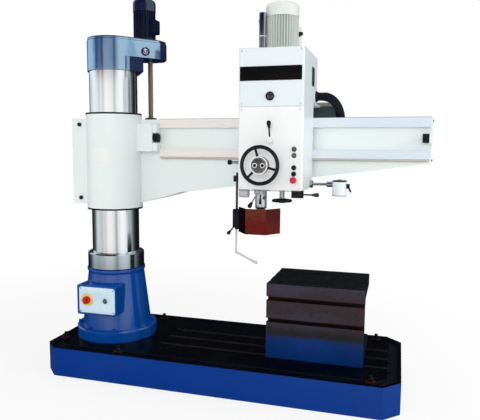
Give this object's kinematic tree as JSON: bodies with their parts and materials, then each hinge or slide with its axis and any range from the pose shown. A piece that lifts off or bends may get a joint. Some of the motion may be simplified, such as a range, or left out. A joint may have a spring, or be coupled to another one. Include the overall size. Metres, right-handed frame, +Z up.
{
  "type": "radial arm drill",
  "caption": "Free-standing radial drilling machine: slotted base with box table, swivelling column, lifting arm and a travelling head with a feeding spindle.",
  "frame": {"origin": "column axis on the floor, at the underside of the base plate", "axes": "+X along the arm and the base, +Y from the rail face into the arm, +Z up along the column"},
  "size_m": [2.619, 0.964, 2.722],
  "materials": {
    "base_blue": "gloss machine enamel",
    "cap_blue": "gloss machine enamel",
    "motor_navy": "satin enamel",
    "arm_white": "satin enamel",
    "head_white": "satin enamel",
    "motor_cream": "satin enamel",
    "ground_steel": "ground",
    "oiled_steel": "oiled",
    "bronze": "turned",
    "dark_steel": "blackened",
    "table_iron": "planed and oiled",
    "rubber": "matt",
    "wheel_black": "satin",
    "black_plastic": "moulded",
    "green_plastic": "moulded",
    "red_plastic": "moulded",
    "white_plastic": "moulded",
    "guard_tint": "tinted sheet",
    "grey_paint": "satin",
    "pale_steel": "satin",
    "unit_green": "satin"
  },
  "bodies": {
    "base": {"base_plate": "base_blue", "anchor_bolts": "dark_steel", "pedestal": "base_blue", "pedestal_bolts": "dark_steel", "inner_column": "ground_steel", "column_bearings": "bronze", "switch_box": "base_blue", "box_table": "table_iron"},
    "main_switch": {"main_switch_knob": "red_plastic"},
    "power": {"power_button": "green_plastic"},
    "column": {"column_sleeve": "ground_steel", "lift_gearbox": "cap_blue", "gearbox_lid": "cap_blue", "lift_motor": "motor_navy", "lift_motor_cowl": "motor_navy"},
    "screw": {"lift_screw": "oiled_steel"},
    "lift_drive": {"lift_pinion": "ground_steel"},
    "arm": {"arm_casting": "arm_white", "guide_rails": "ground_steel", "traverse_rack": "ground_steel", "arm_seals": "rubber", "clamp_bolts": "dark_steel", "lift_nut": "bronze", "arm_bumpers": "rubber", "arm_end_cover": "arm_white"},
    "head": {"head_case": "head_white", "front_panel": "head_white", "upper_cover": "head_white", "main_motor": "motor_cream", "motor_cowl": "motor_cream", "spindle_tube": "motor_navy", "rear_unit": "unit_green", "conduit": "rubber", "guard_rod": "grey_paint", "coolant_pipe": "pale_steel", "lamp_bracket": "grey_paint", "start_housing": "ground_steel", "lever_block": "ground_steel"},
    "motor_rotor": {"motor_gear": "ground_steel"},
    "drive_gear": {"spindle_gear": "ground_steel"},
    "traverse": {"traverse_wheel": "wheel_black", "traverse_shaft": "ground_steel"},
    "clamp": {"clamp_button": "white_plastic"},
    "unclamp": {"unclamp_button": "white_plastic"},
    "quill_slide": {"quill": "ground_steel", "spindle_bearings": "bronze"},
    "spindle_rotor": {"spindle": "ground_steel"},
    "fine_feed": {"fine_feed_wheel": "wheel_black"},
    "shift": {"shift_lever": "black_plastic"},
    "start_switch": {"start_lever": "black_plastic"},
    "feed": {"feed_lever": "black_plastic"},
    "quill_lock": {"quill_lock_lever": "black_plastic"},
    "side_pull": {"side_knob": "black_plastic"},
    "up": {"lift_up_button": "black_plastic"},
    "down": {"lift_down_button": "green_plastic"},
    "start": {"start_button": "black_plastic"},
    "stop": {"stop_button": "black_plastic"},
    "estop": {"emergency_stop": "red_plastic"},
    "guard_swing": {"guard": "guard_tint"},
    "lamp": {"lamp_shade": "pale_steel"}
  },
  "joints": [
    {"name": "column_swivel", "type": "hinge", "parent": "base", "child": "column", "pos_m": [0, 0, 1], "axis": [0, 0, 1], "range_deg": [-180, 180]},
    {"name": "arm_lift", "type": "slide", "parent": "column", "child": "arm", "axis": [0, 0, 1], "range_m": [-0.29, 0.27]},
    {"name": "screw_spin", "type": "hinge", "parent": "column", "child": "screw", "pos_m": [0.2269, 0.15888, 1.9], "axis": [0, 0, 1], "range_deg": [-13888, 14917]},
    {"name": "lift_pinion_spin", "type": "hinge", "parent": "column", "child": "lift_drive", "pos_m": [0.19982, 0.12294, 2.3], "axis": [0, 0, 1], "range_deg": [-29831, 27774]},
    {"name": "head_traverse", "type": "slide", "parent": "arm", "child": "head", "axis": [1, 0, 0], "range_m": [-0.662, 0.588]},
    {"name": "traverse_wheel_turn", "type": "hinge", "parent": "head", "child": "traverse", "pos_m": [1.242, -0.46, 1.51825], "axis": [0, 1, 0], "range_deg": [-1250, 1407]},
    {"name": "quill_feed", "type": "slide", "parent": "head", "child": "quill_slide", "axis": [0, 0, -1], "range_m": [0, 0.315]},
    {"name": "fine_feed_turn", "type": "hinge", "parent": "head", "child": "fine_feed", "pos_m": [1.342, -0.25, 1.287], "axis": [0, 0, 1], "range_deg": [-2, 9452]},
    {"name": "spindle_spin", "type": "hinge", "parent": "quill_slide", "child": "spindle_rotor", "pos_m": [1.187, -0.19, 1.3], "axis": [0, 0, 1], "continuous": true},
    {"name": "drive_gear_spin", "type": "hinge", "parent": "head", "child": "drive_gear", "pos_m": [1.187, -0.19, 1.95], "axis": [0, 0, 1], "continuous": true},
    {"name": "motor_spin", "type": "hinge", "parent": "head", "child": "motor_rotor", "pos_m": [1.29732, -0.10381, 2.1], "axis": [0, 0, 1], "continuous": true},
    {"name": "shift_lever_turn", "type": "hinge", "parent": "head", "child": "shift", "pos_m": [1.2885, -0.39, 1.675], "axis": [0, 1, 0], "range_deg": [-35, 35]},
    {"name": "start_lever_tilt", "type": "hinge", "parent": "head", "child": "start_switch", "pos_m": [1.463, -0.25, 1.329], "axis": [0, 1, 0], "range_deg": [-15, 15]},
    {"name": "feed_lever_turn", "type": "hinge", "parent": "head", "child": "feed", "pos_m": [1.207, -0.347, 1.346], "axis": [0, 1, 0], "range_deg": [-15, 15]},
    {"name": "quill_lock_turn", "type": "hinge", "parent": "head", "child": "quill_lock", "pos_m": [1.207, -0.293, 1.346], "axis": [0, 1, 0], "range_deg": [-20, 20]},
    {"name": "side_knob_pull", "type": "slide", "parent": "head", "child": "side_pull", "axis": [-1, 0, 0], "range_m": [0, 0.015]},
    {"name": "guard_open", "type": "hinge", "parent": "head", "child": "guard_swing", "pos_m": [1.02, -0.19, 1.15], "axis": [0, 0, -1], "range_deg": [0, 100]},
    {"name": "lamp_tilt", "type": "hinge", "parent": "head", "child": "lamp", "pos_m": [1.6, -0.08, 1.389], "axis": [1, 0, 0], "range_deg": [-30, 30]},
    {"name": "main_switch_turn", "type": "hinge", "parent": "base", "child": "main_switch", "pos_m": [-0.075, -0.32, 0.522], "axis": [0, 1, 0], "range_deg": [0, 90]},
    {"name": "power_press", "type": "slide", "parent": "base", "child": "power", "axis": [0, 1, 0], "range_m": [0, 0.004], "stiffness_N_per_m": 400},
    {"name": "clamp_press", "type": "slide", "parent": "traverse", "child": "clamp", "axis": [0, 1, 0], "range_m": [0, 0.004], "stiffness_N_per_m": 400},
    {"name": "unclamp_press", "type": "slide", "parent": "traverse", "child": "unclamp", "axis": [0, 1, 0], "range_m": [0, 0.004], "stiffness_N_per_m": 400},
    {"name": "lift_up_press", "type": "slide", "parent": "head", "child": "up", "axis": [0, 1, 0], "range_m": [0, 0.005], "stiffness_N_per_m": 400},
    {"name": "lift_down_press", "type": "slide", "parent": "head", "child": "down", "axis": [0, 1, 0], "range_m": [0, 0.005], "stiffness_N_per_m": 400},
    {"name": "start_press", "type": "slide", "parent": "head", "child": "start", "axis": [0, 1, 0], "range_m": [0, 0.005], "stiffness_N_per_m": 400},
    {"name": "stop_press", "type": "slide", "parent": "head", "child": "stop", "axis": [0, 1, 0], "range_m": [0, 0.005], "stiffness_N_per_m": 400},
    {"name": "estop_press", "type": "slide", "parent": "head", "child": "estop", "axis": [0, 1, 0], "range_m": [0, 0.005], "stiffness_N_per_m": 400}
  ],
  "couplings": [
    {"joint": "screw_spin", "follows": "arm_lift", "rad_per_m": -897.6},
    {"joint": "lift_pinion_spin", "follows": "arm_lift", "rad_per_m": 1795.2},
    {"joint": "traverse_wheel_turn", "follows": "head_traverse", "rad_per_m": -37.037},
    {"joint": "fine_feed_turn", "follows": "quill_feed", "rad_per_m": 523.6},
    {"joint": "drive_gear_spin", "follows": "spindle_spin", "ratio": 1},
    {"joint": "motor_spin", "follows": "spindle_spin", "ratio": -1.1212}
  ]
}
